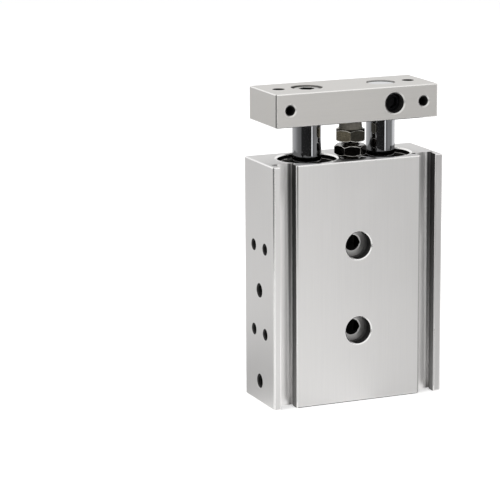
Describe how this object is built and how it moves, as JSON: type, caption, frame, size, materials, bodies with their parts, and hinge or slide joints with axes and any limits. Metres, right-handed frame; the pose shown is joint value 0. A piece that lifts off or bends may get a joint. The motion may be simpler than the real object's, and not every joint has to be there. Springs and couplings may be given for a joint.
{
  "type": "guided pneumatic cylinder",
  "caption": "Compact guided air cylinder: two parallel rods in one slotted housing carry an end plate, with a screwed rubber stop between the rods.",
  "frame": {"origin": "centre of the housing's bottom face, which is the centre of the bounding box's bottom", "axes": "+Z towards the rod end, front face with the sensor slots towards -Y, air ports towards -X"},
  "size_m": [0.064, 0.025, 0.1095],
  "materials": {
    "anodised_alloy": "satin hard anodised extrusion",
    "plate_alloy": "satin anodised",
    "cover_alloy": "turned, anodised",
    "bearing_alloy": "turned bearing alloy",
    "rod_chrome": "hard chrome, polished",
    "spring_steel": "phosphated spring steel",
    "plated_steel": "nickel plated",
    "socket_steel": "plated socket screws",
    "dark_steel": "black oxide",
    "nut_steel": "dark plated",
    "adjuster_steel": "nickel plated, slightly brown",
    "bumper_rubber": "matt urethane",
    "black_rubber": "nitrile seal",
    "guide_resin": "filled resin",
    "magnet_ferrite": "ferrite bonded in rubber"
  },
  "bodies": {
    "housing": {"housing": "anodised_alloy", "port_plugs": "plated_steel", "rod_cover_a": "bearing_alloy", "rod_cover_b": "bearing_alloy", "rod_cover_o_ring_a": "black_rubber", "rod_cover_o_ring_b": "black_rubber", "rod_seal_a": "black_rubber", "rod_seal_b": "black_rubber", "seal_retainer_a": "dark_steel", "seal_retainer_b": "dark_steel", "rod_ring_a": "spring_steel", "rod_ring_b": "spring_steel", "head_cover_a": "cover_alloy", "head_cover_b": "cover_alloy", "head_cover_o_ring_a": "black_rubber", "head_cover_o_ring_b": "black_rubber", "head_ring_a": "spring_steel", "head_ring_b": "spring_steel"},
    "slide_unit": {"end_plate": "plate_alloy", "rod_a": "rod_chrome", "rod_b": "rod_chrome", "plate_screw": "socket_steel", "clamp_screw": "dark_steel", "piston_a": "cover_alloy", "piston_b": "cover_alloy", "piston_seal_a": "black_rubber", "piston_seal_b": "black_rubber", "magnet_a": "magnet_ferrite", "magnet_b": "magnet_ferrite", "guide_ring_a": "guide_resin", "guide_ring_b": "guide_resin", "dampers_a": "bumper_rubber", "dampers_b": "bumper_rubber", "piston_screw_a": "socket_steel", "piston_screw_b": "socket_steel"},
    "bumper": {"bumper": "bumper_rubber"},
    "adjusting_screw": {"adjusting_screw": "adjuster_steel"},
    "lock_nut": {"lock_nut": "nut_steel"}
  },
  "joints": [
    {"name": "stroke", "type": "slide", "parent": "housing", "child": "slide_unit", "axis": [0, 0, 1], "range_m": [0, 0.015]},
    {"name": "adjuster_travel", "type": "slide", "parent": "housing", "child": "bumper", "axis": [0, 0, 1], "range_m": [-0.0012, 0]},
    {"name": "adjuster_turn", "type": "hinge", "parent": "bumper", "child": "adjusting_screw", "pos_m": [0, -0.0054, 0.09105], "axis": [0, 0, 1], "range_deg": [-433, 0]},
    {"name": "lock_nut_turn", "type": "hinge", "parent": "housing", "child": "lock_nut", "pos_m": [0, -0.0054, 0.08615], "axis": [0, 0, 1], "range_deg": [0, 90]}
  ],
  "couplings": [
    {"joint": "adjuster_turn", "follows": "adjuster_travel", "rad_per_m": 6283.2}
  ]
}
